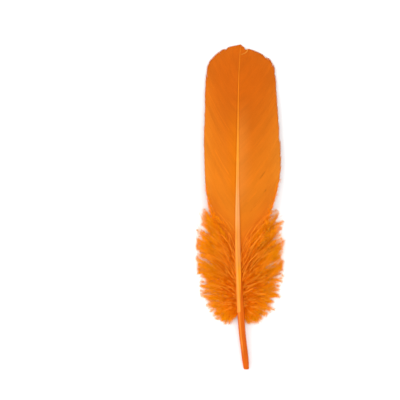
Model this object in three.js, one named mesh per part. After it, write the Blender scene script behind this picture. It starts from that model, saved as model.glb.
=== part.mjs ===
// A goose quill feather, lying face up on a flat surface. Millimetres, +Z up.
//
// The feather lies along +Y, from the end of its quill to its tip. A station is a distance from
// the quill's end along +Y. The origin is on the surface, under the middle of the feather.
//
// It grew as one shaft that carries two rows of barbs. The stiff barbs hook together into the
// left and right vanes. The loose barbs at the foot of each row are down.

import * as THREE from "three";

// ---- Driving dimensions ----

const LENGTH = 175; // quill end to vane tip
const SHAFT_TIP = 173.5; // station where the shaft runs out between the vanes
const RACHIS_START = 31; // station where the bare quill ends and the barbed rachis begins

const QUILL_WIDTH = 3.7;
const QUILL_SWELL = 6; // power with which the quill widens to the rachis: high is a late swell
const RACHIS_WIDTH = 4.1; // at its start, where the shaft is widest
const TIP_WIDTH = 0.5;
const RACHIS_TAPER = 1.3; // power of the rachis's taper: 1 is a straight cone
const RACHIS_DEPTH = 1.1; // depth of the rachis for each unit of its width
const GROOVE_DEPTH = 0.22; // depth of the groove under the rachis, as a share of the shaft's depth
const GROOVE_RUNOUT = 24; // length over which the groove runs out before the shaft's tip
const END_ROUNDING = 8; // length over which the quill's end rounds off
const END_SHARE = 0.65; // width of the blunt end, as a share of the quill's width

// Shaft centreline: [station, x, height].
const SHAFT_LINE = [
  [0, 3.4, 1.55],
  [10, 2.3, 2.25],
  [19, 1.2, 3],
  [31, 0.3, 4.1],
  [46, -0.5, 5.4],
  [64, -1.3, 6.7],
  [92, -1.5, 7.8],
  [130, -1.2, 6.5],
  [158, -0.7, 3.1],
  [SHAFT_TIP, 0.2, 0.75],
];

// Outline of each vane: [station where a barb leaves the shaft, x of the barb's tip, its station].
const RIGHT_VANE = [
  [47, 12.2, 70.7],
  [64, 17.6, 88],
  [71, 20.8, 100],
  [82, 22.2, 112],
  [98, 21.2, 128],
  [122, 19.7, 148],
  [138, 18.8, 161],
  [147.5, 16.2, 167],
  [157, 9.5, 171.2],
  [170.5, 1.6, 174.2],
];
const LEFT_VANE = [
  [47, -11.9, 72.4],
  [62, -16.2, 85.9],
  [70, -18.6, 97],
  [82, -19.4, 113],
  [102, -19.3, 134.5],
  [124, -18.7, 154],
  [133, -18.2, 161],
  [142, -16.2, 166.8],
  [151, -12, 171],
  [160, -6.5, 173.6],
  [170.5, -0.9, LENGTH],
];
const VANE_ROOT_THICKNESS = 0.8;
const VANE_EDGE_THICKNESS = 0.5;
const BARB_BEND = 0.08; // how far a barb bends towards the feather's tip, as a share of its reach
const FOOT_BEND = -0.08; // the same for a vane's lowest barb, which bends away from the tip
const FULL_BEND_FROM = 75; // station of the lowest barb with the full bend
const SIDE_DROOP = 0.55; // share of the shaft's height that the vane has lost at DROOP_REACH
const DROOP_REACH = 22;

// Down: [x and station of a tuft's root, x and station of its tip].
const RIGHT_DOWN = [
  [2.9, 30, 5, 24],
  [2.8, 33, 12.5, 27],
  [2.5, 37, 19, 35.5],
  [2.4, 41, 22.8, 46.5],
  [2.4, 45, 23.5, 59],
  [5.3, 56, 23, 71],
  [10.2, 65, 22, 80.5],
  [15.9, 79, 20.2, 88],
];
const LEFT_DOWN = [
  [-2.4, 30, -6, 24.5],
  [-2.5, 33, -13, 28],
  [-2.7, 37, -19, 36.5],
  [-2.9, 41, -22.6, 47],
  [-3.3, 45, -23.5, 59.5],
  [-6.8, 56.5, -22.8, 71],
  [-10.8, 66.5, -21, 80.5],
  [-15, 79, -19, 88],
];
const DOWN_EDGE_THICKNESS = 1.4;
const DOWN_CROWN = 1.08; // height of the down's crown for each unit of the shaft's height

const GAP = 0.35; // air between a vane or tuft and the shaft that it grows from

// ---- Finishes ----

const SHAFT_FINISH = { color: 0xef9a3c, roughness: 0.42, metalness: 0 };
const VANE_FINISH = { color: 0xe67a1c, roughness: 0.6, metalness: 0 };
const DOWN_FINISH = { color: 0xf6992a, roughness: 0.9, metalness: 0 };

// ---- Resolution of the solids ----

const SHAFT_SIDES = 16;
const SHAFT_RINGS = 64;
const VANE_RINGS = 56;
const VANE_STEPS = 7;
const DOWN_RINGS = 22;
const DOWN_STEPS = 7;

// ---- Helpers ----

// The values at x on a smooth curve through knots, which are lists that start with their own x.
function through(knots, x) {
  const last = knots.length - 1;
  const at = THREE.MathUtils.clamp(x, knots[0][0], knots[last][0]);
  let i = 0;
  while (i < last - 1 && at > knots[i + 1][0]) i += 1;
  const [a, b] = [knots[i], knots[i + 1]];
  const [before, after] = [knots[Math.max(i - 1, 0)], knots[Math.min(i + 2, last)]];
  const span = b[0] - a[0];
  const t = (at - a[0]) / span;
  return a.slice(1).map((start, k) => {
    const end = b[k + 1];
    const slopeIn = (end - before[k + 1]) / (b[0] - before[0]);
    const slopeOut = (after[k + 1] - start) / (after[0] - a[0]);
    return (
      start * (2 * t ** 3 - 3 * t ** 2 + 1) +
      end * (3 * t ** 2 - 2 * t ** 3) +
      span * slopeIn * (t ** 3 - 2 * t ** 2 + t) +
      span * slopeOut * (t ** 3 - t ** 2)
    );
  });
}

// A closed solid skinned over rings with equal, even numbers of points. Each end is closed by a
// strip between the two halves of its ring, so a ring may be as thin and as curved as a vane. The
// strip lies flat only where it never doubles back, so no groove may reach an end ring.
function loft(rings) {
  const size = rings[0].length;
  const index = [];
  const quad = (a, b, c, d) => index.push(a, b, c, a, c, d);
  for (let i = 0; i + 1 < rings.length; i += 1) {
    for (let j = 0; j < size; j += 1) {
      const next = (j + 1) % size;
      quad(i * size + j, i * size + next, (i + 1) * size + next, (i + 1) * size + j);
    }
  }
  const end = (rings.length - 1) * size;
  for (let j = 0; j + 1 < size / 2; j += 1) {
    const across = size - 1 - j;
    quad(across, across - 1, j + 1, j);
    quad(end + j, end + j + 1, end + across - 1, end + across);
  }
  const geometry = new THREE.BufferGeometry();
  geometry.setAttribute("position", new THREE.Float32BufferAttribute(rings.flat(2), 3));
  geometry.setIndex(index);
  geometry.computeVertexNormals();
  return geometry;
}

function piece(name, rings, finish) {
  const mesh = new THREE.Mesh(loft(rings), new THREE.MeshStandardMaterial(finish));
  mesh.name = name;
  return mesh;
}

const share = (i, count) => i / (count - 1);

// ---- Shaft ----

function shaftWidth(station) {
  if (station < RACHIS_START) {
    const rounded = Math.min(station / END_ROUNDING, 1);
    const swell = (station / RACHIS_START) ** QUILL_SWELL;
    const full = THREE.MathUtils.lerp(QUILL_WIDTH, RACHIS_WIDTH, swell);
    return full * THREE.MathUtils.lerp(END_SHARE, 1, Math.sqrt(1 - (1 - rounded) ** 2));
  }
  const run = Math.min((station - RACHIS_START) / (SHAFT_TIP - RACHIS_START), 1);
  return TIP_WIDTH + (RACHIS_WIDTH - TIP_WIDTH) * (1 - run) ** RACHIS_TAPER;
}

function shaftRing(station) {
  const [x, height] = through(SHAFT_LINE, station);
  const rachis = THREE.MathUtils.smoothstep(station, RACHIS_START, 2 * RACHIS_START);
  const halfWidth = shaftWidth(station) / 2;
  const halfDepth = halfWidth * THREE.MathUtils.lerp(1, RACHIS_DEPTH, rachis);
  const runout = Math.min((SHAFT_TIP - station) / GROOVE_RUNOUT, 1);
  const groove = 2 * GROOVE_DEPTH * rachis * runout;
  return Array.from({ length: SHAFT_SIDES }, (_, j) => {
    const angle = (2 * Math.PI * (j + 0.5)) / SHAFT_SIDES - Math.PI / 2;
    const [across, up] = [Math.cos(angle), Math.sin(angle)];
    const grooved = j === 0 || j === SHAFT_SIDES - 1 ? 1 - groove : 1;
    return [x + halfWidth * across, station, height + halfDepth * up * grooved];
  });
}

// Rings crowd towards the quill's end, where it rounds off.
function shaft() {
  const rings = Array.from({ length: SHAFT_RINGS }, (_, i) => {
    const run = share(i, SHAFT_RINGS);
    return shaftRing(SHAFT_TIP * run * THREE.MathUtils.lerp(run, 1, Math.sqrt(run)));
  });
  return piece("quill", rings.reverse(), SHAFT_FINISH);
}

// ---- Vanes ----

// Height of the vane's middle surface: it hangs from the arched shaft and droops to each side.
function vaneHeight(x, station) {
  const [shaftX, height] = through(SHAFT_LINE, station);
  return height * (1 - SIDE_DROOP * ((x - shaftX) / DROOP_REACH) ** 2);
}

// A point on a barb, as [x, station]: run is 0 where it leaves the shaft and 1 at its tip.
function barbPoint(outline, side, root, run) {
  const [tipX, tipStation] = through(outline, root);
  const rootX = through(SHAFT_LINE, root)[0] + side * (shaftWidth(root) / 2 + GAP);
  const firm = THREE.MathUtils.smoothstep(root, outline[0][0], FULL_BEND_FROM);
  const bend = 2 * run * (1 - run) * THREE.MathUtils.lerp(FOOT_BEND, BARB_BEND, firm);
  return [
    THREE.MathUtils.lerp(rootX, tipX, run) + bend * (tipX - rootX),
    THREE.MathUtils.lerp(root, tipStation, run) - bend * (tipStation - root),
  ];
}

// One ring follows one barb out along the top of the vane and back along its underside.
function vane(name, outline, side) {
  const first = outline[0][0];
  const last = outline[outline.length - 1][0];
  const rings = Array.from({ length: VANE_RINGS }, (_, i) => {
    const root = THREE.MathUtils.lerp(first, last, share(i, VANE_RINGS));
    const top = [];
    const under = [];
    for (let step = 0; step < VANE_STEPS; step += 1) {
      const run = share(step, VANE_STEPS);
      const [x, station] = barbPoint(outline, side, root, run);
      const middle = vaneHeight(x, station);
      const half = THREE.MathUtils.lerp(VANE_ROOT_THICKNESS, VANE_EDGE_THICKNESS, run) / 2;
      top.push([x, station, middle + half]);
      under.unshift([x, station, middle - half]);
    }
    return top.concat(under);
  });
  return piece(name, side > 0 ? rings : rings.reverse(), VANE_FINISH);
}

// ---- Down ----

// A soft solid with the down's true outer shape, flat on the surface that the feather lies on.
function down(name, tufts, side) {
  const knots = tufts.map((tuft, i) => [i, ...tuft]);
  const rings = Array.from({ length: DOWN_RINGS }, (_, i) => {
    const along = share(i, DOWN_RINGS) * (tufts.length - 1);
    const [rootX, rootStation, tipX, tipStation] = through(knots, along);
    const crown = DOWN_CROWN * vaneHeight(rootX, rootStation);
    const top = [];
    const under = [];
    for (let step = 0; step < DOWN_STEPS; step += 1) {
      const run = share(step, DOWN_STEPS);
      const x = THREE.MathUtils.lerp(rootX, tipX, run);
      const station = THREE.MathUtils.lerp(rootStation, tipStation, run);
      const fall = Math.sqrt(1 - run ** 2);
      top.push([x, station, THREE.MathUtils.lerp(DOWN_EDGE_THICKNESS, crown, fall)]);
      under.unshift([x, station, 0]);
    }
    return top.concat(under);
  });
  return piece(name, side > 0 ? rings : rings.reverse(), DOWN_FINISH);
}

// ---- Feather ----

const feather = new THREE.Group();
feather.add(
  shaft(),
  vane("vane_left", LEFT_VANE, -1),
  vane("vane_right", RIGHT_VANE, 1),
  down("down_left", LEFT_DOWN, -1),
  down("down_right", RIGHT_DOWN, 1),
);
feather.position.y = -LENGTH / 2;

export default feather;
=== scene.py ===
import math

import bpy
import numpy as np
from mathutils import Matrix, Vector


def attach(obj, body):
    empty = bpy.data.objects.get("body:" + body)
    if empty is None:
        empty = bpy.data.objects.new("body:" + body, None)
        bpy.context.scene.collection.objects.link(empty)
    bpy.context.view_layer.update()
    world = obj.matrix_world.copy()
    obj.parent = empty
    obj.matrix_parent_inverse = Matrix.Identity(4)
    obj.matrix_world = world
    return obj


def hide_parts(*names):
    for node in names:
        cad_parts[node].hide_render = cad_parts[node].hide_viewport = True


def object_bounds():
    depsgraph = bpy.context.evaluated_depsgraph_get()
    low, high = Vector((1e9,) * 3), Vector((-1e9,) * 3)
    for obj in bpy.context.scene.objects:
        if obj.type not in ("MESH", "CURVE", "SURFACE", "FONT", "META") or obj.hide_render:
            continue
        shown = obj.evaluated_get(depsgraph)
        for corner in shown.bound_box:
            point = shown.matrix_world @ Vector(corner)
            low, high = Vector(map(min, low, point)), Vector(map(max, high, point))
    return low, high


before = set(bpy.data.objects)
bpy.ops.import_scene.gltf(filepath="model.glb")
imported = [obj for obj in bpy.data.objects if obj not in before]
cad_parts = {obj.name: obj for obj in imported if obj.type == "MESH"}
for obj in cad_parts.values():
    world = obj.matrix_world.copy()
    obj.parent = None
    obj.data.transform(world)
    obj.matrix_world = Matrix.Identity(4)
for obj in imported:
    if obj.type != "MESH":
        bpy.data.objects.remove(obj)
cad_low, cad_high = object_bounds()

# A goose quill feather, lying face up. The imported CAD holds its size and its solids, and this script
# replaces them with barbs, down and a finely shaped shaft that follow the same lines.
# Lengths are in mm and become metres as a mesh is made. A station is a distance from the quill's end
# along +Y. Across is +X.

MM = 0.001
LENGTH = (cad_high.y - cad_low.y) / MM
SEED = 7  # of the vanes

# ---- The feather's lines, as in the CAD ----

SHAFT_TIP = 173.5
RACHIS_START = 31
QUILL_WIDTH = 3.7
QUILL_SWELL = 6
RACHIS_WIDTH = 4.1
TIP_WIDTH = 0.5
RACHIS_TAPER = 1.3
RACHIS_DEPTH = 1.1
END_ROUNDING = 8
END_SHARE = 0.65

# [station, x, height]
SHAFT_LINE = [
    [0, 3.4, 1.55],
    [10, 2.3, 2.25],
    [19, 1.2, 3],
    [31, 0.3, 4.1],
    [46, -0.5, 5.4],
    [64, -1.3, 6.7],
    [92, -1.5, 7.8],
    [130, -1.2, 6.5],
    [158, -0.7, 3.1],
    [SHAFT_TIP, 0.2, 0.75],
]

# [station where a barb leaves the shaft, x of the barb's tip, its station]
RIGHT_VANE = [
    [47, 12.2, 70.7],
    [64, 17.6, 88],
    [71, 20.8, 100],
    [82, 22.2, 112],
    [98, 21.2, 128],
    [122, 19.7, 148],
    [138, 18.8, 161],
    [147.5, 16.2, 167],
    [157, 9.5, 171.2],
    [170.5, 1.6, 174.2],
    [173, 0.9, 174.8],
]
LEFT_VANE = [
    [47, -11.9, 72.4],
    [62, -16.2, 85.9],
    [70, -18.6, 97],
    [82, -19.4, 113],
    [102, -19.3, 134.5],
    [124, -18.7, 154],
    [133, -18.2, 161],
    [142, -16.2, 166.8],
    [151, -12, 171],
    [160, -6.5, 173.6],
    [170.5, -0.9, 175],
    [173, 0.6, 175.2],
]
BARB_BEND = 0.08
FOOT_BEND = -0.08
FULL_BEND_FROM = 75
SIDE_DROOP = 0.55
DROOP_REACH = 22

# [order, station where a downy barb leaves the shaft, x of its tip, its station]
RIGHT_DOWN = [
    [0, 30.5, 5, 24],
    [1, 33, 12.5, 27],
    [2, 36, 19, 35.5],
    [3, 39.5, 22.8, 46.5],
    [4, 43, 23.5, 59],
    [5, 47, 23, 71],
    [6, 52, 22, 80.5],
    [7, 58, 20.2, 88],
]
LEFT_DOWN = [
    [0, 30.5, -6, 24.5],
    [1, 33, -13, 28],
    [2, 36, -19, 36.5],
    [3, 39.5, -22.6, 47],
    [4, 43, -23.5, 59.5],
    [5, 47, -22.8, 71],
    [6, 52, -21, 80.5],
    [7, 58, -19, 88],
]

# ---- Camera ----

MM_PER_PIXEL = 0.54
PHOTO_SIDE = 400
AXIS_COLUMN = 240  # pixel column of x = 0
QUILL_END_ROW = 369  # pixel row of station 0
CAMERA_HEIGHT = 1000
SENSOR = 36
FARTHEST = 10  # in m


def add_camera():
    """Looks straight down, framed so that a pixel of the photograph is MM_PER_PIXEL wide."""
    view_side = PHOTO_SIDE * MM_PER_PIXEL
    data = bpy.data.cameras.new("camera")
    data.sensor_width = SENSOR
    data.lens = SENSOR * CAMERA_HEIGHT / view_side
    data.clip_end = FARTHEST
    camera = bpy.data.objects.new("camera", data)
    bpy.context.scene.collection.objects.link(camera)
    middle = PHOTO_SIDE / 2
    x = (middle - AXIS_COLUMN) * MM_PER_PIXEL
    station = (QUILL_END_ROW - middle) * MM_PER_PIXEL
    camera.location = (x * MM, (station - LENGTH / 2) * MM, CAMERA_HEIGHT * MM)
    bpy.context.scene.camera = camera


# ---- Curves and meshes ----

MAP_MARGIN = 0.01  # free at both ends of a barb's place on the map


def through(knots, x):
    """Values at x on a smooth curve through knots, which are rows that start with their own x."""
    knots = np.asarray(knots, float)
    at, values = knots[:, 0], knots[:, 1:]
    x = np.clip(x, at[0], at[-1])
    i = np.clip(np.searchsorted(at, x) - 1, 0, len(at) - 2)
    before = np.maximum(i - 1, 0)
    after = np.minimum(i + 2, len(at) - 1)
    span = (at[i + 1] - at[i])[..., None]
    t = (x - at[i])[..., None] / span
    slope_in = (values[i + 1] - values[before]) / (at[i + 1] - at[before])[..., None]
    slope_out = (values[after] - values[i]) / (at[after] - at[i])[..., None]
    return (
        values[i] * (2 * t**3 - 3 * t**2 + 1)
        + values[i + 1] * (3 * t**2 - 2 * t**3)
        + span * slope_in * (t**3 - 2 * t**2 + t)
        + span * slope_out * (t**3 - t**2)
    )


def smoothstep(x, low, high):
    t = np.clip((x - low) / (high - low), 0, 1)
    return t * t * (3 - 2 * t)


def unit(v):
    return v / np.maximum(np.linalg.norm(v, axis=-1, keepdims=True), 1e-12)


def drift(rng, count, spacing):
    """count random values between -1 and 1 that change smoothly over about spacing steps."""
    knots = rng.uniform(-1, 1, int(count / spacing) + 3)
    return np.interp(np.arange(count) / spacing, np.arange(len(knots)), knots)


def ring_faces(rings, sides, strands=1):
    """Quads that skin strands of rings of points, one strand after another."""
    strand, ring, side = np.meshgrid(
        np.arange(strands) * rings * sides, np.arange(rings - 1), np.arange(sides), indexing="ij"
    )
    a = strand + ring * sides + side
    b = strand + ring * sides + (side + 1) % sides
    return np.stack([a, b, b + sides, a + sides], -1).reshape(-1, 4)


def end_caps(rings, sides, strands=1):
    """A face that closes each end of each strand."""
    start = (np.arange(strands) * rings * sides)[:, None]
    root = start + np.arange(sides)[::-1]
    tip = start + (rings - 1) * sides + np.arange(sides)
    return np.concatenate([root, tip])


def make_piece(name, points, faces, uv, material, node, wrap=None, smooth=True):
    """A mesh of points in mm from arrays of faces, with its own map, riding for a CAD node.

    wrap is the width of the map's first axis for a tube, whose last side meets its first.
    """
    mesh = bpy.data.meshes.new(name)
    points = np.array(points, float).reshape(-1, 3)
    points[:, 1] -= LENGTH / 2
    corners = np.concatenate([f.ravel() for f in faces])
    sizes = np.concatenate([np.full(len(f), f.shape[1]) for f in faces])
    mesh.vertices.add(len(points))
    mesh.vertices.foreach_set("co", (points * MM).ravel())
    mesh.loops.add(len(corners))
    mesh.loops.foreach_set("vertex_index", corners.astype(np.int32))
    mesh.polygons.add(len(sizes))
    starts = np.concatenate([[0], np.cumsum(sizes)[:-1]])
    mesh.polygons.foreach_set("loop_start", starts.astype(np.int32))
    mesh.polygons.foreach_set("loop_total", sizes.astype(np.int32))
    places = np.asarray(uv, float).reshape(-1, 2)[corners]
    if wrap:
        low = np.minimum.reduceat(places[:, 0], starts)
        high = np.maximum.reduceat(places[:, 0], starts)
        far = np.repeat(high - low > wrap / 2, sizes)
        places[:, 0] += wrap * (far & (places[:, 0] < wrap / 2))
    layer = mesh.uv_layers.new(name="OFBake")
    layer.data.foreach_set("uv", places.astype(np.float32).ravel())
    mesh.polygons.foreach_set("use_smooth", np.full(len(sizes), smooth))
    mesh.update(calc_edges=True)
    mesh.validate()
    mesh.materials.append(material)
    piece = bpy.data.objects.new(name, mesh)
    bpy.context.scene.collection.objects.link(piece)
    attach(piece, "root")
    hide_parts(node)


# ---- Material nodes ----


class Look:
    """A Principled material whose nodes are written as sums."""

    def __init__(self, name, roughness, specular):
        self.material = bpy.data.materials.new(name)
        self.material.use_nodes = True
        self.tree = self.material.node_tree
        self.shader = self.tree.nodes["Principled BSDF"]
        self.shader.inputs["Roughness"].default_value = roughness
        self.shader.inputs["Specular IOR Level"].default_value = specular
        place = self.add("ShaderNodeUVMap")
        place.uv_map = "OFBake"
        split = self.add("ShaderNodeSeparateXYZ")
        self.link(place.outputs["UV"], split.inputs[0])
        self.u, self.v = split.outputs["X"], split.outputs["Y"]
        self.space = self.add("ShaderNodeTexCoord").outputs["Object"]

    def add(self, kind):
        return self.tree.nodes.new(kind)

    def link(self, source, socket):
        """Plugs in an output, or sets a plain value."""
        if isinstance(source, bpy.types.NodeSocket):
            self.tree.links.new(source, socket)
        else:
            socket.default_value = source

    def math(self, operation, a, b=0.0, c=0.0):
        node = self.add("ShaderNodeMath")
        node.operation = operation
        for value, socket in zip((a, b, c), node.inputs):
            self.link(value, socket)
        return node.outputs[0]

    def ramp(self, value, low, high, start=0.0, end=1.0):
        """value taken smoothly from low..high to start..end."""
        node = self.add("ShaderNodeMapRange")
        node.interpolation_type = "SMOOTHSTEP"
        for x, socket in zip((value, low, high, start, end), node.inputs):
            self.link(x, socket)
        return node.outputs[0]

    def noise(self, vector, scale, detail=2.0, roughness=0.5):
        """Noise between 0 and 1, around 0.5."""
        node = self.add("ShaderNodeTexNoise")
        self.link(vector, node.inputs["Vector"])
        node.inputs["Scale"].default_value = scale
        node.inputs["Detail"].default_value = detail
        node.inputs["Roughness"].default_value = roughness
        return node.outputs["Fac"]

    def vector(self, x, y, z=0.0):
        node = self.add("ShaderNodeCombineXYZ")
        for value, socket in zip((x, y, z), node.inputs):
            self.link(value, socket)
        return node.outputs[0]

    def mix(self, factor, a, b):
        """Colour a at factor 0 and colour b at factor 1."""
        node = self.add("ShaderNodeMix")
        node.data_type = "RGBA"
        self.link(factor, node.inputs["Factor"])
        for value, socket in ((a, node.inputs["A"]), (b, node.inputs["B"])):
            self.link((*value, 1) if isinstance(value, tuple) else value, socket)
        return node.outputs["Result"]

    def scale(self, colour, factor):
        """A colour made lighter or darker by a factor around 1."""
        node = self.add("ShaderNodeVectorMath")
        node.operation = "SCALE"
        self.link(colour, node.inputs[0])
        self.link(factor, node.inputs["Scale"])
        return node.outputs[0]

    def finish(self, colour, bump=None, depth=0.0):
        """Gives the shader its colour, and relief that is depth mm deep."""
        self.link(colour, self.shader.inputs["Base Color"])
        if bump is not None:
            node = self.add("ShaderNodeBump")
            node.inputs["Distance"].default_value = depth * MM
            self.link(bump, node.inputs["Height"])
            self.link(node.outputs[0], self.shader.inputs["Normal"])
        return self.material


# ---- Shaft ----

SHAFT_SIDES = 48
END_RINGS = [0, 0.12, 0.35, 0.7, 1.2, 1.9]  # stations of the rings of the quill's rounded end
QUILL_RINGS_FROM, QUILL_STEP = 2.8, 0.9
FINE_FROM, FINE_TO = 28.5, 36  # stations where the rings stand close, round the umbilicus
FINE_STEP = 0.09
RACHIS_RINGS = 170
SECTION_POWER = 2.7  # of the rachis's rounded square section: 2 is an ellipse
FACE_GROOVE = 0.07  # depth of the face's groove, as a share of the half width
FACE_GROOVE_WIDTH = 0.16  # how far it reaches to each side, in half widths
UNDER_GROOVE = 0.5  # depth of the groove under the rachis, as a share of the half depth
UNDER_GROOVE_WIDTH = 0.42  # how far it reaches to each side, in half widths
GROOVE_RUNOUT = 24  # length over which the groove under the rachis runs out before the tip
UMBILICUS_STEP = 0.14  # how far the pale face lies below the quill's skin where it starts
STRIP_SLANT = 0.9  # how far along the shaft the pale face's end slants
STRIP_FROM, STRIP_TO = 32, 66  # stations between which the pale face widens to the right
STRIP_LEAST, STRIP_MOST = -0.03, 1.0  # its right edge there, in half widths
STRIP_END_EDGE, STRIP_SIDE_EDGE = 0.1, 0.06  # half the width of its lower and of its right edge's slope
# The pit in the quill's end, from its bottom to its lip: [share of the end's radius, depth in mm]
PIT = [[0.3, 1.6], [0.42, 0.5], [0.5, 0.06], [0.7, -0.02]]
PIT_MAP = (-0.02, -0.005)  # the place of the pit's bottom and lip along the map, below station 0
MAP_START, MAP_SHARE = 0.03, 0.95  # the place of station 0 along the map, and the shaft's share of it

QUILL_DARK, QUILL_LIGHT = (0.60, 0.092, 0.0), (0.68, 0.122, 0.0)
# A painted highlight: a lighter streak along the top of the quill, left of its middle
QUILL_PAINTED_HIGHLIGHT = (0.76, 0.205, 0.02)
PAINTED_HIGHLIGHT_ACROSS = -0.46  # middle of the quill's painted highlight, a light streak, in half widths
QUILL_EDGE_SHADE = 0.82  # painted shade: brightness of the quill's sides, as a share of its middle's
UPPER_DARK, UPPER_LIGHT = (0.68, 0.165, 0.0), (0.76, 0.195, 0.0)
UPPER_FROM, UPPER_TO = 60, 135  # stations between which the skin takes on the upper shaft's tones
PALE_DARK, PALE_LIGHT = (0.80, 0.27, 0.030), (0.90, 0.335, 0.052)
SHADE_LOW, SHADE_HIGH = (0.80, 0.27, 0.006), (0.74, 0.245, 0.05)  # of the pale face's right part
SHADE_FROM, SHADE_TO = 53, 62  # stations between which that shade changes
WHITISH, WHITISH_MOST = (0.84, 0.345, 0.11), 0.6
WHITISH_RISE, WHITISH_FALL = (73, 83), (89, 104)  # stations between which that tone comes and goes
PALE_TIP = (0.88, 0.32, 0.02)
PALE_TIP_FROM, PALE_TIP_TO = 98, 118
FADE_FROM, FADE_TO = 105, 150  # stations between which the pale face fades out
CENTRE_LINE = 0.14  # how much darker the face's groove is
GRAIN_AROUND, GRAIN_ALONG = 26, 0.05  # steps of the long grain round the shaft and for each mm along it


def shaft_width(station):
    rounded = np.clip(station / END_ROUNDING, 0, 1)
    swell = QUILL_WIDTH + (RACHIS_WIDTH - QUILL_WIDTH) * (station / RACHIS_START) ** QUILL_SWELL
    quill = swell * (END_SHARE + (1 - END_SHARE) * np.sqrt(1 - (1 - rounded) ** 2))
    run = np.clip((station - RACHIS_START) / (SHAFT_TIP - RACHIS_START), 0, 1)
    rachis = TIP_WIDTH + (RACHIS_WIDTH - TIP_WIDTH) * (1 - run) ** RACHIS_TAPER
    return np.where(station < RACHIS_START, quill, rachis)


def strip_right(station):
    """Right edge of the pale face, in half widths: it widens from its start up to the full width."""
    return STRIP_LEAST + (STRIP_MOST - STRIP_LEAST) * smoothstep(station, STRIP_FROM, STRIP_TO)


def in_strip(across, station):
    """1 on the pale face and 0 off it, with crisp edges."""
    start = RACHIS_START + STRIP_SLANT * (across + 0.5)
    along = smoothstep(station, start - STRIP_END_EDGE, start + STRIP_END_EDGE)
    right = strip_right(station)
    return along * (1 - smoothstep(across, right - STRIP_SIDE_EDGE, right + STRIP_SIDE_EDGE))


def shaft_stations():
    quill = np.concatenate([END_RINGS, np.arange(QUILL_RINGS_FROM, FINE_FROM, QUILL_STEP)])
    fine = np.arange(FINE_FROM, FINE_TO, FINE_STEP)
    rachis = np.linspace(FINE_TO, SHAFT_TIP, RACHIS_RINGS)
    return np.concatenate([quill, fine, rachis])


def add_shaft():
    stations = shaft_stations()[:, None]
    angle = 2 * np.pi * (np.arange(SHAFT_SIDES) + 0.5) / SHAFT_SIDES - np.pi / 2
    line = through(SHAFT_LINE, stations[:, 0])
    half = shaft_width(stations) / 2
    rachis = smoothstep(stations, RACHIS_START - 2, 2 * RACHIS_START)
    power = 2 / (2 + (SECTION_POWER - 2) * rachis)
    across = np.sign(np.cos(angle)) * np.abs(np.cos(angle)) ** power
    up = np.sign(np.sin(angle)) * np.abs(np.sin(angle)) ** power
    deep = half * (1 + (RACHIS_DEPTH - 1) * rachis)
    face_groove = FACE_GROOVE * half * rachis * np.exp(-((across / FACE_GROOVE_WIDTH) ** 2))
    runout = np.clip((SHAFT_TIP - stations) / GROOVE_RUNOUT, 0, 1)
    under_groove = UNDER_GROOVE * deep * rachis * runout * np.exp(-((across / UNDER_GROOVE_WIDTH) ** 2))
    height = deep * up - np.where(up > 0, face_groove, -under_groove)
    step = UMBILICUS_STEP * (1 - smoothstep(stations, RACHIS_START, 2 * RACHIS_START))
    height -= step * in_strip(across, stations) * np.clip(up * 3, 0, 1)
    x = line[:, :1] + half * across
    z = line[:, 1:] + height
    y = np.broadcast_to(stations, x.shape)
    points = np.stack([x, y, z], -1)
    middle = np.array([line[0, 0], 0, line[0, 1]])
    pit = [middle + (points[0] - middle) * (share, 1, share) + (0, depth, 0) for share, depth in PIT]
    points = np.concatenate([np.stack(pit), points])
    rings = len(points)
    v = np.concatenate([np.linspace(*PIT_MAP, len(pit)), stations[:, 0] / SHAFT_TIP])
    v = MAP_START + MAP_SHARE * v
    u = (np.arange(SHAFT_SIDES) + 0.5) / SHAFT_SIDES
    uv = np.stack(np.broadcast_arrays(u[None], v[:, None]), -1)
    faces = [ring_faces(rings, SHAFT_SIDES)[:, ::-1], end_caps(rings, SHAFT_SIDES)[:, ::-1]]
    make_piece("shaft", points, faces, uv, shaft_look(), "quill", wrap=1)


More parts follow.
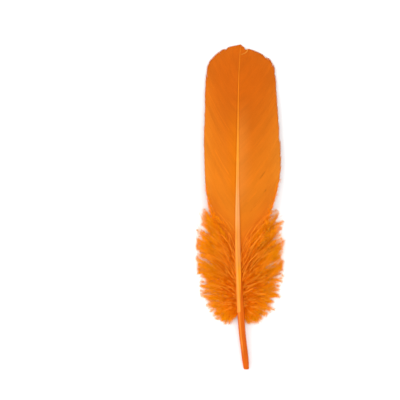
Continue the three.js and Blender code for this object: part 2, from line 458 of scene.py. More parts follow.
def shaft_look():
    look = Look("shaft", roughness=0.3, specular=0.16)
    along_shaft = look.math("DIVIDE", look.math("SUBTRACT", look.v, MAP_START), MAP_SHARE)
    station = look.math("MULTIPLY", along_shaft, SHAFT_TIP)
    angle = look.math("MULTIPLY", look.u, 2 * math.pi)
    across = look.math("SINE", angle)
    up = look.math("MULTIPLY", look.math("COSINE", angle), -1)
    grain_around = look.math("MULTIPLY", look.u, GRAIN_AROUND)
    grain_along = look.math("MULTIPLY", station, GRAIN_ALONG)
    long_grain = look.noise(look.vector(grain_around, grain_along), 1.0, 4)
    mottle = look.noise(look.space, 180, 3)
    quill = look.mix(look.ramp(long_grain, 0.35, 0.7), QUILL_DARK, QUILL_LIGHT)
    # Painted highlight: the light streak along the quill's top
    from_painted_highlight = look.math("ABSOLUTE", look.math("ADD", across, -PAINTED_HIGHLIGHT_ACROSS))
    streak = look.ramp(from_painted_highlight, 0.12, 0.36, 0.9, 0.0)
    streak = look.math("MULTIPLY", streak, look.ramp(station, 5, 14))
    streak = look.math("MULTIPLY", streak, look.ramp(up, 0.3, 0.6))
    quill = look.mix(streak, quill, QUILL_PAINTED_HIGHLIGHT)
    # Painted shade on the quill's sides
    quill = look.scale(quill, look.ramp(look.math("ABSOLUTE", across), 0.8, 1.0, 1.0, QUILL_EDGE_SHADE))
    upper = look.mix(look.ramp(long_grain, 0.3, 0.7), UPPER_DARK, UPPER_LIGHT)
    skin = look.mix(look.ramp(station, UPPER_FROM, UPPER_TO), quill, upper)
    right_part = look.ramp(across, -0.3, 0.0)
    pale = look.mix(look.ramp(long_grain, 0.3, 0.75), PALE_DARK, PALE_LIGHT)
    shade = look.mix(look.ramp(station, SHADE_FROM, SHADE_TO), SHADE_LOW, SHADE_HIGH)
    shaded = look.math("MULTIPLY", right_part, look.ramp(station, SHADE_FROM, SHADE_TO, 0.95, 0.6))
    pale = look.mix(shaded, pale, shade)
    rise = look.ramp(station, *WHITISH_RISE, 0.0, WHITISH_MOST)
    fall = look.ramp(station, *WHITISH_FALL, 1.0, 0.0)
    pale = look.mix(look.math("MULTIPLY", rise, fall), pale, WHITISH)
    pale = look.mix(look.ramp(station, PALE_TIP_FROM, PALE_TIP_TO), pale, PALE_TIP)
    line = look.math("SUBTRACT", 1.0, look.ramp(look.math("ABSOLUTE", across), 0.02, 0.1))
    pale = look.scale(pale, look.math("SUBTRACT", 1.0, look.math("MULTIPLY", line, CENTRE_LINE)))
    start = look.math("MULTIPLY_ADD", across, STRIP_SLANT, RACHIS_START + STRIP_SLANT / 2)
    along = look.ramp(look.math("SUBTRACT", station, start), -0.12, 0.12)
    fade = look.ramp(station, FADE_FROM, FADE_TO, 1.0, 0.0)
    right = look.ramp(station, STRIP_FROM, STRIP_TO, STRIP_LEAST, STRIP_MOST)
    side = look.ramp(look.math("SUBTRACT", across, right), -0.12, 0.12, 1.0, 0.0)
    top = look.ramp(up, -0.1, 0.3)
    strip = look.math("MULTIPLY", look.math("MULTIPLY", along, fade), look.math("MULTIPLY", side, top))
    colour = look.mix(strip, skin, pale)
    colour = look.scale(colour, look.ramp(mottle, 0.2, 0.8, 0.94, 1.06))
    return look.finish(colour, bump=long_grain, depth=0.05)


# ---- Vanes ----

BARBS = 240  # in each vane
BARB_RINGS = 28
BARB_OVERLAP = 1.35  # width of a barb with its barbules, for each unit of the spacing
LOOSE_TO = 74  # station of the highest barb that hangs loose
FRINGE_TO = 73  # station of the highest barb with downy barbules on its outer part
RIDGE = 0.17  # height of a barb's ridge, as a share of its width
KEEL = 0.09
SHOULDER = 0.45  # how far from a barb's middle each slope of its roof bends, in half widths
EDGE_DROP = 0.06  # how far its edges hang below its middle, in half widths
WAVE = 0.03  # depth of the vane's slow waves, as a share of its height
LONG_WAVE, LONG_WAVE_ASIDE = 9.5, 13  # mm for each radian along the shaft, and across it
SHORT_WAVE, SHORT_WAVE_ASIDE = 5.1, 8
SHORT_WAVE_SHARE, SHORT_WAVE_PHASE = 0.6, 1.7
RAGGED = 0.012  # how much the barbs' lengths vary slowly, as a share
EVEN_RAGGED, LOOSE_RAGGED = 0.006, 0.11  # how much each length varies, and how much more a loose one does
RUN_POWER = 0.9  # below 1 it sets the rings along a barb closer towards its tip
ROOT_ASIDE = 0.3  # how far from the shaft's middle a barb starts, as a share of the shaft's width
WIDEST_SPACING = 0.9
WIDTH_MARGIN = 0.06
TAPER_FROM, TAPER = 0.94, 0.65  # run from which a barb narrows, and the share that it loses
BARB_LIFT = 0.05  # how far barbs lie above or below the vane's surface at most
LOOSE_LIFT = 0.5  # how far the tips of loose barbs rise at most
CURL_WIDTH, CURL_TAPER = 0.42, 0.9
BLADE_MAP = np.array([0.04, 0.27, 0.5, 0.73, 0.96, 0.5])  # a blade's edges within its strip of the map
FLUSH = 0.8  # how high the upper vane meets the rachis, as a share of the half depth
FLUSH_FROM, FLUSH_TO = 55, 105  # stations between which the vane rises to that height
FLUSH_REACH = 5

# Tones of the vane: darker towards its tip, painted shade
VANE_MIDDLE, VANE_TIP_SHADED = (0.67, 0.176, 0.0065), (0.56, 0.11, 0.002)
RIM_MIDDLE, RIM_TIP_SHADED = (0.70, 0.205, 0.013), (0.58, 0.135, 0.006)
# Painted light: shade at each vane's foot, and by the shaft shade on the left and a highlight on the right
LEFT_PAINTED_LIGHT = {"foot": (0.57, 0.096, 0.001), "painted_light_by_shaft": (0.66, 0.16, 0.0)}
RIGHT_PAINTED_LIGHT = {"foot": (0.65, 0.125, 0.003), "painted_light_by_shaft": (0.68, 0.198, 0.02)}
CURL_TONE = (0.86, 0.33, 0.04)
MARK_FADE = 0.04  # run over which a mark fades in and out


def vane_height(x, station):
    """Height of the vane's middle surface: it hangs from the arched shaft and droops to each side."""
    line = through(SHAFT_LINE, station)
    aside = (x - line[..., 0]) / DROOP_REACH
    wave = np.sin(station / LONG_WAVE + x / LONG_WAVE_ASIDE)
    short_wave = np.sin(station / SHORT_WAVE - x / SHORT_WAVE_ASIDE + SHORT_WAVE_PHASE)
    wave = wave + SHORT_WAVE_SHARE * short_wave
    flush = FLUSH * shaft_width(station) / 2 * smoothstep(station, FLUSH_FROM, FLUSH_TO)
    flush *= np.exp(-((aside * DROOP_REACH / FLUSH_REACH) ** 2))
    return line[..., 1] * (1 - SIDE_DROOP * aside**2 + WAVE * wave * np.abs(aside)) + flush


def vane_normal(x, station):
    step = 0.2
    dx = (vane_height(x + step, station) - vane_height(x - step, station)) / (2 * step)
    dy = (vane_height(x, station + step) - vane_height(x, station - step)) / (2 * step)
    return unit(np.stack([-dx, -dy, np.ones_like(dx)], -1))


def part_barbs(flat, roots, runs, splits):
    """Parts the barbs on the two sides of each split, and lifts the ones above it."""
    tangent = unit(np.gradient(flat, axis=1))
    aside = np.stack([-tangent[..., 1], tangent[..., 0]], -1)
    aside *= np.sign(aside[..., 1:])
    spacing = roots[1] - roots[0]
    shift = np.zeros(flat.shape[:2])
    lift = np.zeros(flat.shape[:2])
    for station, gap, raised, start, end, reach in splits:
        away = (roots - station) / spacing
        if end >= 1:
            opening = smoothstep(runs, start, 1)
        else:
            opening = np.sin(np.pi * np.clip((runs - start) / (end - start), 0, 1)) ** 2
        near = np.exp(-np.abs(away) / reach)[:, None] * opening
        shift += gap / 2 * np.sign(away)[:, None] * near
        lift += raised * (away > 0)[:, None] * near
    return flat + aside * shift[..., None], lift


def barb_blades(middle, normal, width, side):
    """Roof-shaped blades along lines of middle points: a ridge above, a keel below, thin edges."""
    along = unit(np.gradient(middle, axis=1))
    across = unit(np.cross(normal, along)) * side
    half = (width / 2)[..., None]
    section = [
        middle - across * half - normal * half * EDGE_DROP,
        middle - across * half * SHOULDER + normal * half * RIDGE,
        middle + normal * half * 2 * RIDGE,
        middle + across * half * SHOULDER + normal * half * RIDGE,
        middle + across * half - normal * half * EDGE_DROP,
        middle - normal * half * 2 * KEEL,
    ]
    return np.stack(section, 2)


def add_vane(name, node, outline, side, splits, nicks, curls, rng, material):
    """Makes a vane, and returns the centre lines of the barbs at its foot."""
    roots = np.linspace(outline[0][0], outline[-1][0], BARBS)
    runs = np.linspace(0, 1, BARB_RINGS) ** RUN_POWER
    loose = 1 - smoothstep(roots, roots[0], LOOSE_TO)
    tips = through(outline, roots)
    start_x = through(SHAFT_LINE, roots)[:, 0] + side * ROOT_ASIDE * shaft_width(roots)
    start = np.stack([start_x, roots], -1)
    ragged = EVEN_RAGGED + LOOSE_RAGGED * loose
    length = 1 + RAGGED * drift(rng, BARBS, 5) + ragged * rng.uniform(-1, 1, BARBS)
    for station, wide, cut in nicks:
        length -= cut * np.exp(-(((roots - station) / wide) ** 2))
    reach = (tips - start) * length[:, None]
    firm = smoothstep(roots, roots[0], FULL_BEND_FROM)
    bend = (FOOT_BEND + (BARB_BEND - FOOT_BEND) * firm)[:, None, None]
    bend = bend * (2 * runs * (1 - runs))[None, :, None] * np.array([1, -1])
    flat = start[:, None] + reach[:, None] * (runs[None, :, None] + bend)
    # Width: the gap to the neighbours, square to the barb, before any split opens.
    tangent = unit(np.gradient(flat, axis=1))
    apart = np.gradient(start[:, None] + (tips - start)[:, None] * (runs[None, :, None] + bend), axis=0)
    spacing = np.abs(tangent[..., 0] * apart[..., 1] - tangent[..., 1] * apart[..., 0])
    flat, raised = part_barbs(flat, roots, runs, splits)
    width = np.minimum(spacing, WIDEST_SPACING) * BARB_OVERLAP + WIDTH_MARGIN
    width *= 1 - TAPER * smoothstep(runs, TAPER_FROM, 1)
    x, station = flat[..., 0], flat[..., 1]
    lift = BARB_LIFT * drift(rng, BARBS, 3)[:, None] * smoothstep(runs, 0.1, 1) + raised
    lift = lift + (loose * rng.uniform(0, LOOSE_LIFT, BARBS))[:, None] * runs
    middle = np.stack([x, station, vane_height(x, station) + lift], -1)
    points = barb_blades(middle, vane_normal(x, station), width, side)
    u = (np.arange(BARBS)[:, None, None] + BLADE_MAP) / (BARBS + 1)
    v = MAP_MARGIN + (1 - 2 * MAP_MARGIN) * runs[None, :, None]
    uv = np.stack(np.broadcast_arrays(u, v), -1)
    if curls:
        # Curled barbs, which share the last strip of the map.
        line = np.array([through(knots, np.linspace(0, 1, BARB_RINGS)) for knots in curls])
        line[..., 2] += vane_height(line[..., 0], line[..., 1])
        taper = np.sqrt(1 - CURL_TAPER * np.linspace(0, 1, BARB_RINGS))
        curl_width = CURL_WIDTH * taper * np.ones((len(curls), 1))
        curled = barb_blades(line, np.broadcast_to((0, 0, 1.0), line.shape), curl_width, side)
        points = np.concatenate([points, curled])
        u = np.broadcast_to((BARBS + BLADE_MAP) / (BARBS + 1), (len(curls), BARB_RINGS, len(BLADE_MAP)))
        curled_uv = np.stack([u, np.broadcast_to(v, u.shape)], -1)
        uv = np.concatenate([uv, curled_uv])
    sides = len(BLADE_MAP)
    faces = [ring_faces(BARB_RINGS, sides, len(points)), end_caps(BARB_RINGS, sides, len(points))]
    if side > 0:
        faces = [f[:, ::-1] for f in faces]
    make_piece(name, points, faces, uv, material, node)
    return middle[roots < FRINGE_TO]


def vane_look(name, outline, marks, tones):
    """The look of a vane: painted shade towards its tip and at its foot, and painted light by the shaft,
    shade on the left vane and a highlight on the right.
    """
    look = Look(name, roughness=0.62, specular=0.06)
    barb = look.math("MULTIPLY", look.u, BARBS + 1)
    within = look.math("ABSOLUTE", look.math("SUBTRACT", look.math("FRACT", barb), 0.5))
    streak_place = look.vector(look.math("MULTIPLY", barb, 0.8), look.math("MULTIPLY", look.v, 3))
    streak = look.noise(streak_place, 1.0, 3, 0.65)
    broad_place = look.vector(look.math("MULTIPLY", barb, 0.09), look.math("MULTIPLY", look.v, 1.6))
    broad = look.noise(broad_place, 1.0, 2)
    patch = look.noise(look.space, 45, 3)
    fine_place = look.vector(look.math("MULTIPLY", within, 3), look.math("MULTIPLY", look.v, 260), barb)
    fine = look.noise(fine_place, 1.0, 1)
    # Painted shade: darker towards the tip
    tip = look.ramp(look.u, 0.25, 0.82)
    # Painted shade at the foot
    foot = look.ramp(look.u, 0.02, 0.30, 1.0, 0.0)
    colour = look.mix(tip, VANE_MIDDLE, VANE_TIP_SHADED)
    colour = look.mix(foot, colour, tones["foot"])
    # Painted light by the shaft: shade on the left vane, a highlight on the right
    painted_light_by_shaft = look.math("MULTIPLY", look.ramp(look.v, 0.02, 0.35, 0.8, 0.0), look.ramp(look.u, 0.26, 0.4))
    painted_light_by_shaft = look.math("MULTIPLY", painted_light_by_shaft, look.ramp(look.u, 0.55, 0.8, 1.0, 0.0))
    colour = look.mix(painted_light_by_shaft, colour, tones["painted_light_by_shaft"])
    rim = look.math("MULTIPLY", look.ramp(look.v, 0.6, 1.0), look.ramp(look.u, 0.25, 0.6, 0.95, 0.3))
    colour = look.mix(rim, colour, look.mix(tip, RIM_MIDDLE, RIM_TIP_SHADED))
    curled = look.math("GREATER_THAN", barb, BARBS)
    colour = look.mix(curled, colour, CURL_TONE)
    colour = look.scale(colour, look.ramp(streak, 0.25, 0.75, 0.95, 1.05))
    colour = look.scale(colour, look.ramp(broad, 0.3, 0.7, 0.96, 1.04))
    # The darker marks are painted shadow in slits
    for station, start, end, lighter in marks:
        index = (station - outline[0][0]) / (outline[-1][0] - outline[0][0]) * (BARBS - 1) + 0.5
        near = look.ramp(look.math("ABSOLUTE", look.math("SUBTRACT", barb, index)), 0.35, 1.0, lighter, 0.0)
        fade_in = look.ramp(look.v, start, start + MARK_FADE)
        fade_out = look.ramp(look.v, end - MARK_FADE, end, 1.0, 0.0)
        along = look.math("MULTIPLY", fade_in, fade_out)
        colour = look.scale(colour, look.math("MULTIPLY_ADD", near, along, 1.0))
    colour = look.scale(colour, look.ramp(patch, 0.3, 0.7, 0.97, 1.03))
    colour = look.scale(colour, look.ramp(fine, 0.2, 0.8, 0.96, 1.04))
    # Lighter along each barb's ridge: partly the ramus's own paler tone, partly a painted highlight
    colour = look.scale(colour, look.ramp(within, 0.0, 0.14, 1.06, 1.0))
    return look.finish(colour, bump=fine, depth=0.03)


# ---- Down ----

STEM_RINGS = 18
STEM_SIDES = 4
STEM_ROOT = 0.12
STEM_TIP = 0.02
BARBULE = 3.3  # length of the longest barbules
BARBULE_WIDTH = 0.072
TIP_BARBULE_WIDTH = 0.11  # of the barbules at a barb's tip, which stand for more of them
BARBULE_CREST = 0.018  # height of a barbule's ridge over its edges
FRINGE_SHARE = 0.3  # barbules on a fringe barb for each one on a downy barb of its length
FRINGE_TONE = 0.4  # the fringe has the colour of the downy barbs' inner parts, painted shade included, up to this run
LOWEST = 0.1  # height of the lowest fibres
FREE_REACH, LAST_REACH = 20.5, 3.0  # x up to which downy barbs reach freely, and how much further at most
STRAY_ROOT, STRAY_TIP = 0.25, 0.07  # width of the bare barbs that lie on the down
STRAY_LIFT = 1.1  # height that they bow above it
STRAY_BOW = 0.6  # power of the bow's sine: below 1 it makes the bow flatter on top
BARB_SWING, STRAY_SWING = 5, 11  # spread in degrees of the ways that barbs and strays point
GOLDEN = 0.618  # golden ratio's fraction, which sets neighbouring barbs in different layers
LAYER_JITTER, LAYER_POWER = 0.2, 0.75
DOWN_ROOT_ASIDE = 0.55  # how far from the shaft's middle the barbs start, in half widths
DOWN_ROOT_LEVEL = 0.6  # how far below its middle the lowest ones start, in half widths
LONGEST_BARB, SHORTER_BY, SHORTER_POWER = 0.98, 0.26, 1.6  # barbs' lengths, as shares of the fan's reach
BELLY, BELLY_SPREAD, SWAY_SPREAD = 0.06, 0.06, 0.055  # bends of the barbs, as shares of their length
SWAY_TURN = 6  # radians of the sway's wave along a barb
FALL_POWER = 1.3  # how fast a barb leaves its root's height for its layer's
CEILING = 0.92  # height of the down's top, as a share of the height of the vane's surface there
CLEARANCE = 0.3  # between the down's layers and both the surface below them and that top
OUTER_SINK = 0.35  # share by which the layers are lower at the barbs' tips
VEIL_LIFT, VEIL_DEPTH = 0.35, 0.5  # height of the barbs on the vane over it, and how much it varies
RUN_SHAPE = (1.25, 1.1)  # of the beta distribution of the barbules along a barb
ROLL_SPREAD = 0.75  # in radians, round the barb, of the barbules of one side
LEAN, LEAN_SPREAD, TIP_LEAN = 62, 18, 24  # degrees of a barbule to its barb, and how much less at the tip
TIP_SHORTER = 0.42  # share by which barbules are shorter at a barb's tip
SHORTEST, LONGEST = 0.35, 1.1  # of the random factor on a barbule's length
FIRST_PART, LAST_PART = 0.42, 0.58  # of a barbule, before and after its bend
FORWARD, CURVE_SPREAD, SAG = 0.9, 0.5, 0.1  # of the direction that a barbule bends to
LEAST_BEND, MOST_BEND = 0.2, 0.9
TILT_SPREAD = 0.35  # of the barbules' upper sides, as shares of a unit length
LOWEST_VARIES = (0.5, 1.5)  # random factor on LOWEST
NEEDLE_POINTS = 5
STEM_MAP = np.array([0.02, 0.06, 0.1, 0.06])  # a stem's sides within its barb's strip of the map
NEEDLE_MAP = np.array([0.16, 0.48, 0.5, 0.52, 0.96])  # a needle's points within that strip
NEEDLE_SPREAD = np.array([0, -1, 0, 1, 0]) * 0.012  # and how far they lie beside each other along it
NEEDLE_MARGIN = 0.02  # free at both ends of the needles' place along the strip
STEM_END, NEEDLE_START = 0.11, 0.15  # between these places in the strip a stem's colour ends
FRINGE_START = (0.3, 0.9)  # run where barbules start on the lowest and the highest barb of the fringe

# Towards the shaft the down is redder and darker: painted shade of its deep fibres
DOWN_INNER_SHADED, DOWN_OUTER = (1.0, 0.175, 0.0), (1.0, 0.33, 0.003)
BARBULE_END = (1.0, 0.42, 0.008)
STEM_DARK, STEM_LIGHT = (0.60, 0.075, 0.0), (1.0, 0.36, 0.03)


def hold_in(x):
    """Bends what reaches past FREE_REACH back, so that it ends before FREE_REACH + LAST_REACH."""
    past = np.maximum(np.abs(x) - FREE_REACH, 0)
    return np.sign(x) * (np.minimum(np.abs(x), FREE_REACH) + LAST_REACH * np.tanh(past / LAST_REACH))


def down_barbs(rows, side, count, orders, veil, swing, rng):
    """Centre lines of downy barbs, as (count, STEM_RINGS, 3) points, and their lengths.

    veil is the share that lies on the vane's foot instead of beside it.
    """
    order = orders[0] + (orders[1] - orders[0]) * (np.arange(count) + rng.uniform(0, 1, count)) / count
    root_station, tip_x, tip_station = through(rows, order).T
    line = through(SHAFT_LINE, root_station)
    half = shaft_width(root_station) / 2
    # Layer 0 is near the surface that the feather lies on, and layer 1 near the top of the down.
    layer = ((np.arange(count) * GOLDEN + rng.uniform(0, LAYER_JITTER, count)) % 1) ** LAYER_POWER
    root_x = line[:, 0] + side * DOWN_ROOT_ASIDE * half
    root = np.stack([root_x, root_station, line[:, 1] + half * (layer - DOWN_ROOT_LEVEL)], -1)
    reach = np.stack([tip_x, tip_station], -1) - root[:, :2]
    reach *= (LONGEST_BARB - SHORTER_BY * rng.uniform(0, 1, count) ** SHORTER_POWER)[:, None]
    swing = np.radians(rng.normal(0, swing, count))
    turned = np.stack([
        reach[:, 0] * np.cos(swing) - reach[:, 1] * np.sin(swing),
        reach[:, 0] * np.sin(swing) + reach[:, 1] * np.cos(swing),
    ], -1)
    length = np.linalg.norm(turned, axis=1)
    aside = np.stack([-turned[:, 1], turned[:, 0]], -1) / length[:, None] * side
    runs = np.linspace(0, 1, STEM_RINGS)[None, :, None]
    belly = rng.normal(BELLY, BELLY_SPREAD, count)[:, None, None] * length[:, None, None]
    sway = rng.normal(0, SWAY_SPREAD, (count, 1, 1)) * length[:, None, None]
    phase = rng.uniform(0, 2 * np.pi, (count, 1, 1))
    curl = np.sin(runs * SWAY_TURN + phase) - np.sin(phase)
    flat = root[:, None, :2] + turned[:, None] * runs
    flat = flat + aside[:, None] * (belly * 4 * runs * (1 - runs) + sway * runs * curl)
    flat[..., 0] = hold_in(flat[..., 0])
    out = runs[..., 0]
    fall = (1 - out) ** FALL_POWER
    top = CEILING * vane_height(flat[..., 0], flat[..., 1])
    rest = CLEARANCE + layer[:, None] * (top - 2 * CLEARANCE) * (1 - OUTER_SINK * out)
    height = root[:, 2:] * fall + rest * (1 - fall)
    over = rng.uniform(0, 1, count) < veil
    on_vane = vane_height(flat[..., 0], flat[..., 1]) + VEIL_LIFT + VEIL_DEPTH * layer[:, None]
    height = np.where(over[:, None], root[:, 2:] * fall + on_vane * (1 - fall), height)
    return np.concatenate([flat, height[..., None]], -1), length


def frames_of(lines):
    """Tangents, sideways and upward directions along lines of points."""
    tangent = unit(np.gradient(lines, axis=1))
    aside = unit(np.cross(tangent, np.array([0, 0, 1.0])))
    return tangent, aside, np.cross(aside, tangent)


def stems(lines, root_width, tip_width):
    """Tapering four-sided stems."""
    _, aside, up = frames_of(lines)
    thick = np.linspace(root_width, tip_width, STEM_RINGS)[None, :, None, None] / 2
    turn = 2 * np.pi * np.arange(STEM_SIDES) / STEM_SIDES
    around = aside[:, :, None] * np.cos(turn)[:, None] + up[:, :, None] * np.sin(turn)[:, None]
    return lines[:, :, None] + thick * around


def barbules(lines, length, start, total, rng):
    """Bent needles round each line: (total, NEEDLE_POINTS, 3) points, with their line and run.

    A needle is pointed at both ends and flat below, and its three middle points stand where it
    bends. The needles start at run start on each line.
    """
    share = length * (1 - start) * np.where(start > 0, FRINGE_SHARE, 1)
    stem = rng.choice(len(lines), total, p=share / share.sum())
    run = start[stem] + (1 - start[stem]) * rng.beta(*RUN_SHAPE, total)
    tangent, aside, above = frames_of(lines)
    where = run * (STEM_RINGS - 1)
    low = np.minimum(where.astype(int), STEM_RINGS - 2)
    mix = (where - low)[:, None]

    def at(field):
        return field[stem, low] * (1 - mix) + field[stem, low + 1] * mix

    base, along, sideways, upwards = at(lines), unit(at(tangent)), unit(at(aside)), unit(at(above))
    roll = rng.normal(0, ROLL_SPREAD, total) + np.pi * rng.integers(0, 2, total)
    out = sideways * np.cos(roll)[:, None] + upwards * np.sin(roll)[:, None]
    lean = np.radians(rng.normal(LEAN, LEAN_SPREAD, total) - TIP_LEAN * run**2)[:, None]
    heading = along * np.cos(lean) + out * np.sin(lean)
    size = BARBULE * smoothstep(run, -0.1, 0.18) * (1 - TIP_SHORTER * run**2)
    size = size * rng.uniform(SHORTEST, LONGEST, total)
    curve = unit(along * FORWARD + rng.normal(0, CURVE_SPREAD, (total, 3)) - np.array([0, 0, SAG]))
    middle = base + heading * (size * FIRST_PART)[:, None]
    bent = unit(heading + curve * rng.uniform(LEAST_BEND, MOST_BEND, total)[:, None])
    tip = middle + bent * (size * LAST_PART)[:, None]
    up = np.array([0, 0, 1.0]) + rng.normal(0, TILT_SPREAD, (total, 3))
    width = BARBULE_WIDTH + (TIP_BARBULE_WIDTH - BARBULE_WIDTH) * run
    edge = unit(np.cross(up, heading)) * width[:, None] / 2
    ridge = unit(np.cross(heading, edge)) * BARBULE_CREST
    points = np.empty((total, NEEDLE_POINTS, 3))
    points[:, 0] = base
    points[:, 1] = middle + edge
    points[:, 2] = middle + ridge
    points[:, 3] = middle - edge
    points[:, 4] = tip
    points[..., 2] = np.maximum(points[..., 2], LOWEST * rng.uniform(*LOWEST_VARIES, (total, 1)))
    return points, stem, run


def needle_faces(total, first):
    """The triangles of needles whose points start at index first, in two arrays."""
    start = first + np.arange(total)[:, None] * NEEDLE_POINTS
    roots = np.concatenate([start + np.array([0, 1 + (k + 1) % 3, 1 + k]) for k in range(3)])
    tips = np.concatenate([start + np.array([4, 1 + k, 1 + (k + 1) % 3]) for k in range(3)])
    return roots, tips


def add_down(name, node, rows, side, down, fringe, seed):
    """Downy barbs with their barbules, bare stray barbs, and barbules on the lines of a fringe."""
    rng = np.random.default_rng(seed)
    orders, count, strays, total = down["orders"], down["count"], down["strays"], down["total"]
    lines, length = down_barbs(rows, side, count, orders, down["veil"], BARB_SWING, rng)
    bare, _ = down_barbs(rows, side, strays, (max(orders[0], 1), orders[1]), 1, STRAY_SWING, rng)
    bare[..., 2] += STRAY_LIFT * np.sin(np.pi * np.linspace(0, 1, STEM_RINGS)) ** STRAY_BOW
    stem_points = np.concatenate([stems(lines, STEM_ROOT, STEM_TIP), stems(bare, STRAY_ROOT, STRAY_TIP)])
    start = np.zeros(count)
    if len(fringe):
        at = np.linspace(0, BARB_RINGS - 1, STEM_RINGS).astype(int)
        lines = np.concatenate([lines, fringe[:, at]])
        length = np.concatenate([length, np.linalg.norm(fringe[:, -1] - fringe[:, 0], axis=1)])
        start = np.concatenate([start, np.linspace(FRINGE_START[0], FRINGE_START[1], len(fringe))])
    needles, stem, run = barbules(lines, length, start, total, rng)
    strands = len(lines) + strays
    strand = np.concatenate([np.arange(count), np.arange(len(lines), strands)])
    stem_u = (strand[:, None, None] + STEM_MAP) / strands
    stem_v = np.linspace(MAP_MARGIN, 1 - MAP_MARGIN, STEM_RINGS)[None, :, None]
    stem_uv = np.stack(np.broadcast_arrays(stem_u, stem_v), -1)
    needle_u = (stem[:, None] + NEEDLE_MAP) / strands
    tone = run * np.where(stem < count, 1, FRINGE_TONE)
    needle_v = tone[:, None] * (1 - 2 * NEEDLE_MARGIN) + NEEDLE_MARGIN + NEEDLE_SPREAD
    needle_uv = np.stack([needle_u, needle_v], -1)
    faces = [
        ring_faces(STEM_RINGS, STEM_SIDES, len(strand)),
        end_caps(STEM_RINGS, STEM_SIDES, len(strand)),
        *needle_faces(total, stem_points.size // 3),
    ]
    points = np.concatenate([stem_points.reshape(-1, 3), needles.reshape(-1, 3)])
    uv = np.concatenate([stem_uv.reshape(-1, 2), needle_uv.reshape(-1, 2)])
    make_piece(name, points, faces, uv, down_look(name, strands), node, smooth=False)


def down_look(name, strands):
    look = Look(name, roughness=0.9, specular=0.0)
    barb = look.math("MULTIPLY", look.u, strands)
    out = look.math("FRACT", barb)
    strand = look.noise(look.vector(look.math("FLOOR", barb), look.math("MULTIPLY", look.v, 2.5)), 1.3, 2)
    fine_place = look.vector(look.math("MULTIPLY", out, 4), look.math("MULTIPLY", look.v, 60), barb)
    fine = look.noise(fine_place, 1.0, 2)
    # Painted shade: redder and darker towards the shaft
    colour = look.mix(look.ramp(look.v, 0.05, 0.9), DOWN_INNER_SHADED, DOWN_OUTER)
    colour = look.mix(look.ramp(out, 0.3, 1.0, 0.0, 0.6), colour, BARBULE_END)
    stem = look.mix(look.ramp(strand, 0.42, 0.52), STEM_DARK, STEM_LIGHT)
    colour = look.mix(look.ramp(out, STEM_END, NEEDLE_START, 0.85, 0.0), colour, stem)
    colour = look.scale(colour, look.ramp(strand, 0.3, 0.7, 0.86, 1.08))
    colour = look.scale(colour, look.ramp(fine, 0.2, 0.8, 0.95, 1.05))
    return look.finish(colour)


# ---- Stage ----

FLOOR_SIDE = 30
FLOOR_COLOUR = (0.98, 0.98, 0.98, 1)
WORLD_STRENGTH = 1.1
# [name, place in m, side in m, power in W]
AREA_LIGHTS = [
    ["key", (-1.05, 0.35, 0.75), 0.9, 6],
    ["fill", (0.6, -0.5, 1.1), 1.2, 2],
]


def add_floor():
    mesh = bpy.data.meshes.new("floor")
    half = FLOOR_SIDE / 2
    corners = [(-half, -half, 0), (half, -half, 0), (half, half, 0), (-half, half, 0)]
    mesh.from_pydata(corners, [], [(0, 1, 2, 3)])
    material = bpy.data.materials.new("floor")
    material.use_nodes = True
    shader = material.node_tree.nodes["Principled BSDF"]
    shader.inputs["Base Color"].default_value = FLOOR_COLOUR
    shader.inputs["Roughness"].default_value = 0.9
    shader.inputs["Specular IOR Level"].default_value = 0.1
    mesh.materials.append(material)
    floor = bpy.data.objects.new("floor", mesh)
    bpy.context.scene.collection.objects.link(floor)


def add_area_light(name, place, side, power):
    data = bpy.data.lights.new(name, "AREA")
    data.size = side
    data.energy = power
    light = bpy.data.objects.new(name, data)
    bpy.context.scene.collection.objects.link(light)
    light.location = place
    light.rotation_mode = "QUATERNION"
    light.rotation_quaternion = light.location.to_track_quat("Z", "Y")
    light.visible_glossy = name == "key"


def add_lights():
    world = bpy.data.worlds.new("studio")
    world.use_nodes = True
    background = world.node_tree.nodes["Background"]
    background.inputs["Color"].default_value = (1, 1, 1, 1)
    background.inputs["Strength"].default_value = WORLD_STRENGTH
    world.cycles_visibility.glossy = False
    bpy.context.scene.world = world
    for name, place, side, power in AREA_LIGHTS:
        add_area_light(name, place, side, power)
    settings = bpy.context.scene.view_settings
    settings.view_transform = "Standard"
    settings.look = "None"


# ---- Feather ----

# [station at the shaft, gap in mm, lift in mm, run where it opens, run where it closes, barbs moved]
LEFT_SPLITS = [
    [57, 0.25, 0.3, 0.2, 1, 4],
    [67, 0.3, 0.15, 0.6, 1, 7],
    [92, 0.0, 0.16, 0.1, 1, 10],
    [114, 0.0, 0.2, 0.15, 1, 10],
    [131, 0.12, 0.1, 0.75, 1, 6],
    [152, 0.2, 0.1, 0.78, 1, 4],
]
RIGHT_SPLITS = [
    [54, 0.4, 0.3, 0.3, 1, 4],
    [60, 0.35, 0.2, 0.6, 1, 6],
    [79, 0.0, 0.16, 0.1, 0.7, 6],
    [90, 0.12, 0.1, 0.44, 0.62, 3],
    [84, 0.12, 0.08, 0.62, 0.78, 2],
    [118, 0.15, 0.12, 0.75, 1, 8],
    [143, 0.2, 0.12, 0.8, 1, 4],
]
# [station at the shaft, width in mm, share of the barb's length that is cut away]
RIGHT_NICKS = [[167.2, 1.6, 0.16], [151, 0.7, 0.03]]
LEFT_NICKS = [[158, 0.8, 0.04], [147, 1.2, 0.02]]
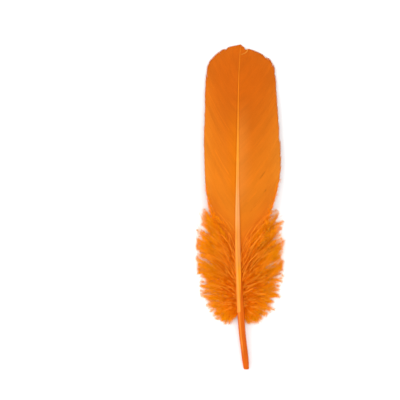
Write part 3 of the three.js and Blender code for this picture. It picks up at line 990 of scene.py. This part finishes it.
# Lines along single barbs, the darker ones painted shadow in slits: [station at the shaft, run where
# it starts, run where it ends, how much lighter, or darker where it is below 0]
LEFT_MARKS_AND_SLIT_SHADOWS = [
    [123, 0.2, 0.95, 0.12],
    [99, 0.2, 0.65, 0.12],
    [58, 0.12, 0.6, 0.16],
    [54, 0.2, 0.75, 0.12],
    [48.5, 0.02, 0.34, -0.3],
    [56, 0.26, 0.44, -0.24],
]
RIGHT_MARKS_AND_SLIT_SHADOWS = [
    [90, 0.44, 0.6, -0.2],
    [80, 0.54, 0.62, -0.28],
    [85.5, 0.17, 0.4, 0.14],
    [47.5, 0.1, 0.95, 0.16],
    [51, 0.34, 0.54, -0.26],
    [49.5, 0.2, 0.42, 0.14],
]
# A curled barb by the nick: [run, x, station, height above the vane]
RIGHT_CURLS = [
    [[0, 4.0, 172.9, 0.3], [0.35, 3.7, 171.4, 0.6], [0.7, 2.2, 170.2, 0.6], [1, 0.5, 169.6, 0.4]],
]
# Downy barbs: their orders in RIGHT_DOWN or LEFT_DOWN, how many there are, the share that lies on the
# vane's foot instead of beside it, how many more are bare, and how many barbules there are.
LOW_DOWN = {"orders": (0, 5.2), "count": 104, "veil": 0.0, "strays": 32, "total": 29800}
HIGH_DOWN = {"orders": (4.2, 7.2), "count": 78, "veil": 0.25, "strays": 36, "total": 30320}
LEFT_LOW_SEED, LEFT_HIGH_SEED, RIGHT_LOW_SEED, RIGHT_HIGH_SEED = 3, 13, 23, 33


def add_feather():
    rng = np.random.default_rng(SEED)
    add_shaft()
    left = vane_look("left_vane", LEFT_VANE, LEFT_MARKS_AND_SLIT_SHADOWS, LEFT_PAINTED_LIGHT)
    right = vane_look("right_vane", RIGHT_VANE, RIGHT_MARKS_AND_SLIT_SHADOWS, RIGHT_PAINTED_LIGHT)
    left_foot = add_vane(
        "left_vane_barbs", "vane_left", LEFT_VANE, -1, LEFT_SPLITS, LEFT_NICKS, [], rng, left
    )
    right_foot = add_vane(
        "right_vane_barbs", "vane_right", RIGHT_VANE, 1, RIGHT_SPLITS, RIGHT_NICKS, RIGHT_CURLS, rng, right
    )
    add_down("left_low_down", "down_left", LEFT_DOWN, -1, LOW_DOWN, [], LEFT_LOW_SEED)
    add_down("left_high_down", "down_left", LEFT_DOWN, -1, HIGH_DOWN, left_foot, LEFT_HIGH_SEED)
    add_down("right_low_down", "down_right", RIGHT_DOWN, 1, LOW_DOWN, [], RIGHT_LOW_SEED)
    add_down("right_high_down", "down_right", RIGHT_DOWN, 1, HIGH_DOWN, right_foot, RIGHT_HIGH_SEED)


add_camera()
add_feather()
add_floor()
add_lights()
